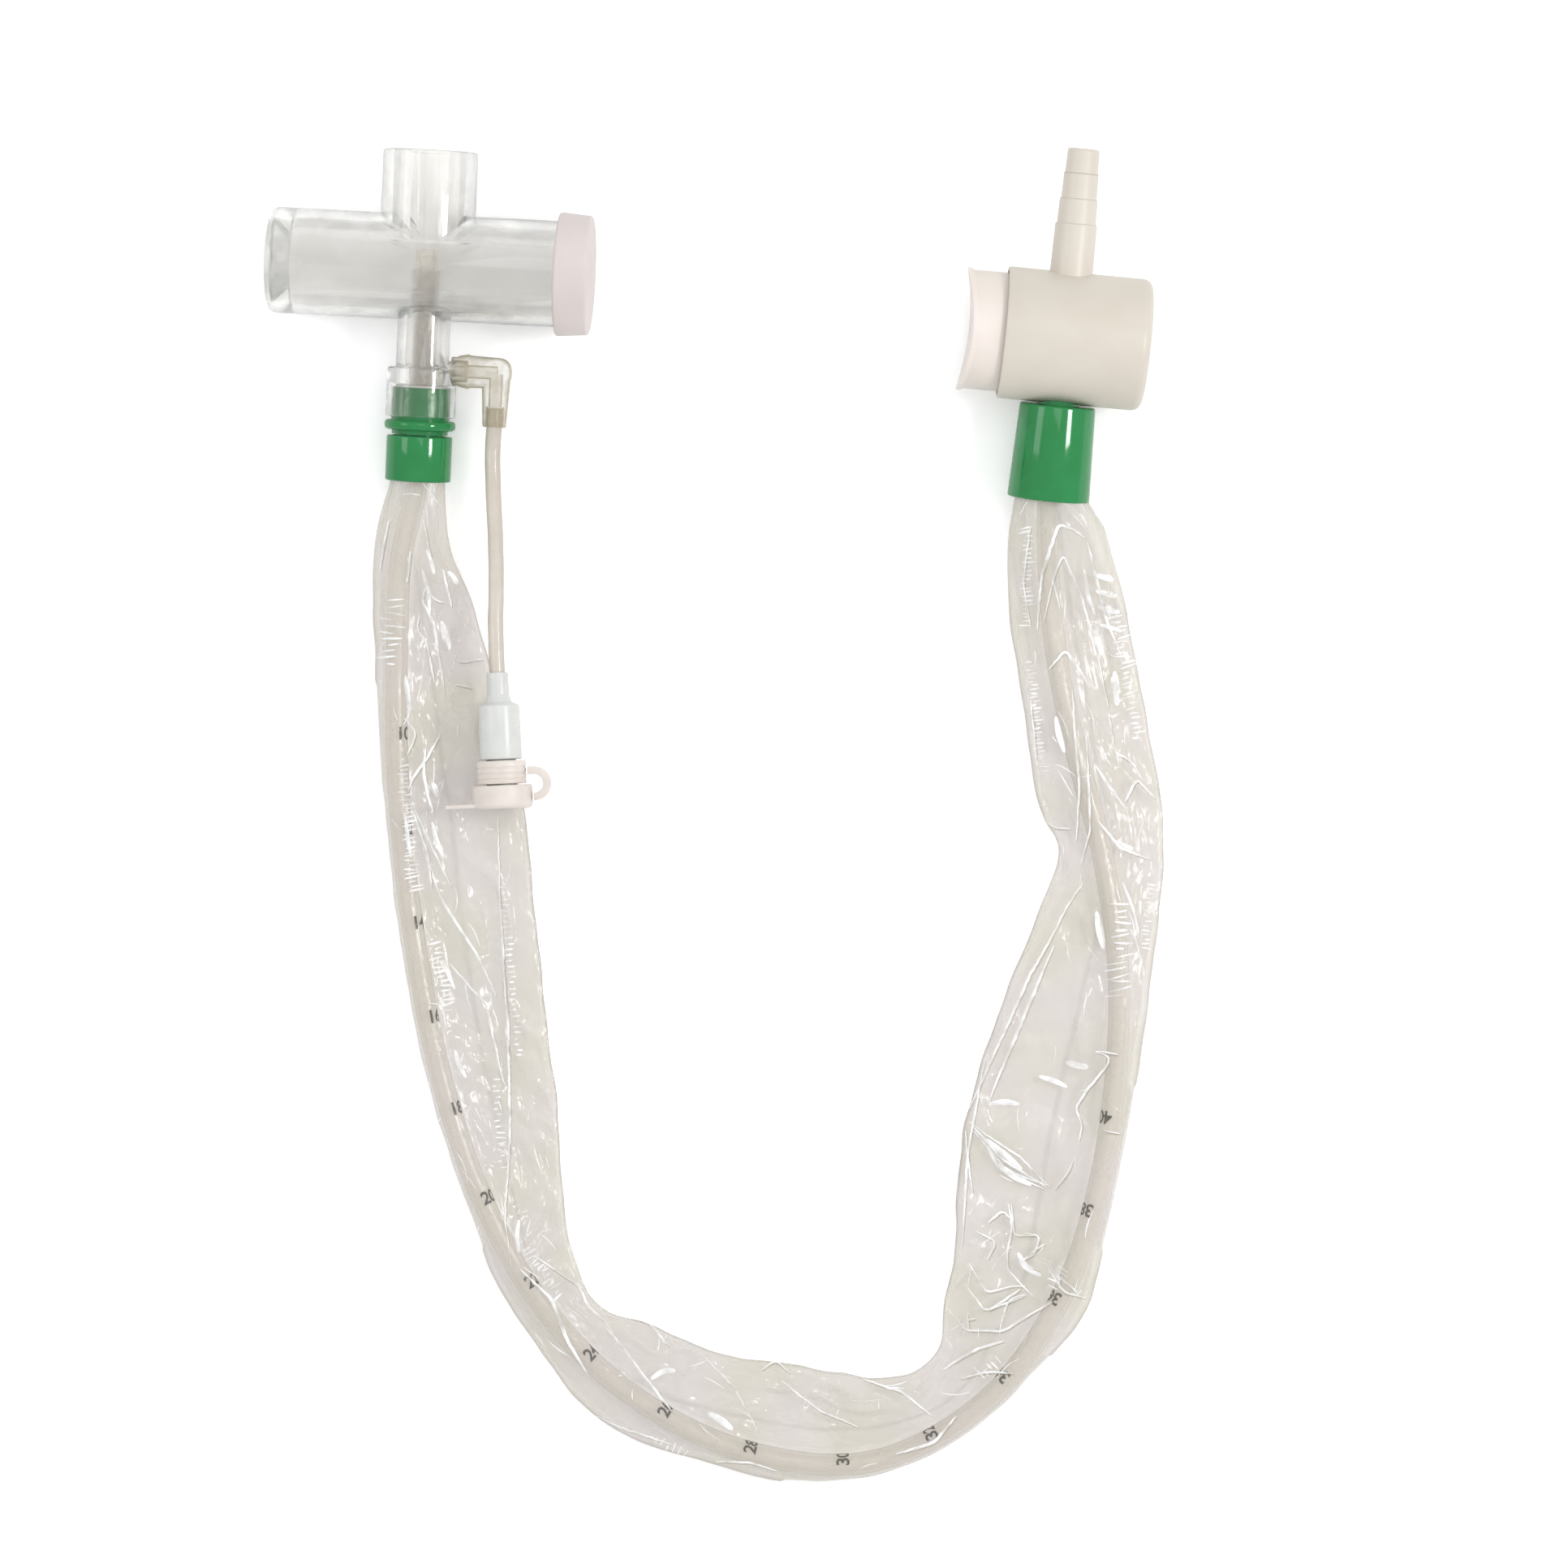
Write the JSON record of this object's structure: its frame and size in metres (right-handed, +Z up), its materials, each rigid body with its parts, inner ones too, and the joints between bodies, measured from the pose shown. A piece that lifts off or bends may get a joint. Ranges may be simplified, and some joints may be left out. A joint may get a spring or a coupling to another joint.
{
  "type": "closed suction catheter",
  "caption": "Closed suction catheter laid in a U: clear T-piece with end cap, irrigation line, film sleeve round a marked tube, and a thumb-operated suction valve.",
  "frame": {"origin": "under the middle of the object's outline, on the surface that it lies on", "axes": "+Z up from the surface, +Y from the bend of the U towards the T-piece and the valve, +X from the T-piece to the valve"},
  "size_m": [0.1906, 0.2839, 0.0277],
  "materials": {
    "clear_styrene": "glossy clear",
    "cap_elastomer": "satin",
    "green_polypropylene": "satin",
    "white_silicone": "matt",
    "smoky_soft_pvc": "translucent",
    "clear_soft_pvc": "translucent",
    "white_abs": "satin",
    "beige_polyethylene": "satin",
    "beige_abs": "fine matt",
    "button_polypropylene": "satin",
    "plunger_acetal": "smooth",
    "black_rubber": "matt",
    "spring_steel": "bright drawn",
    "polyurethane_film": "clear creased",
    "catheter_pvc": "frosted translucent"
  },
  "bodies": {
    "base": {"t_piece": "clear_styrene", "guide_tube": "clear_styrene", "wiper_seal": "white_silicone", "coupling": "green_polypropylene", "front_collar": "green_polypropylene", "irrigation_elbow": "smoky_soft_pvc", "irrigation_hose": "clear_soft_pvc", "irrigation_connector": "white_abs", "check_disc": "white_silicone", "irrigation_port": "white_abs", "tether_ring": "beige_polyethylene", "tether_strap": "beige_polyethylene", "catheter": "catheter_pvc", "sleeve": "polyurethane_film", "rear_collar": "green_polypropylene", "valve_spigot": "green_polypropylene", "valve_housing": "beige_abs", "return_spring": "spring_steel"},
    "port_cap": {"port_cap": "cap_elastomer"},
    "plunger": {"valve_plunger": "plunger_acetal", "seal_ring_front": "black_rubber", "seal_ring_middle": "black_rubber", "seal_ring_rear": "black_rubber"},
    "button": {"thumb_button": "button_polypropylene"},
    "irrigation_cap": {"irrigation_cap": "beige_polyethylene"}
  },
  "joints": [
    {"name": "port_cap_pull", "type": "slide", "parent": "base", "child": "port_cap", "axis": [0.998, -0.0549, 0.032], "range_m": [0, 0.012]},
    {"name": "valve_press", "type": "slide", "parent": "base", "child": "plunger", "axis": [0.9956, -0.0932, 0], "range_m": [0, 0.007], "stiffness_N_per_m": 400, "springref_m": -0.01, "deforming": ["return_spring"]},
    {"name": "button_turn", "type": "hinge", "parent": "plunger", "child": "button", "pos_m": [0.06076, 0.10192, 0.01385], "axis": [0.9956, -0.0932, 0], "range_deg": [0, 90]},
    {"name": "irrigation_cap_pull", "type": "slide", "parent": "base", "child": "irrigation_cap", "axis": [0.0419, -0.9991, 0], "range_m": [0, 0.008], "deforming": ["tether_strap"]}
  ]
}
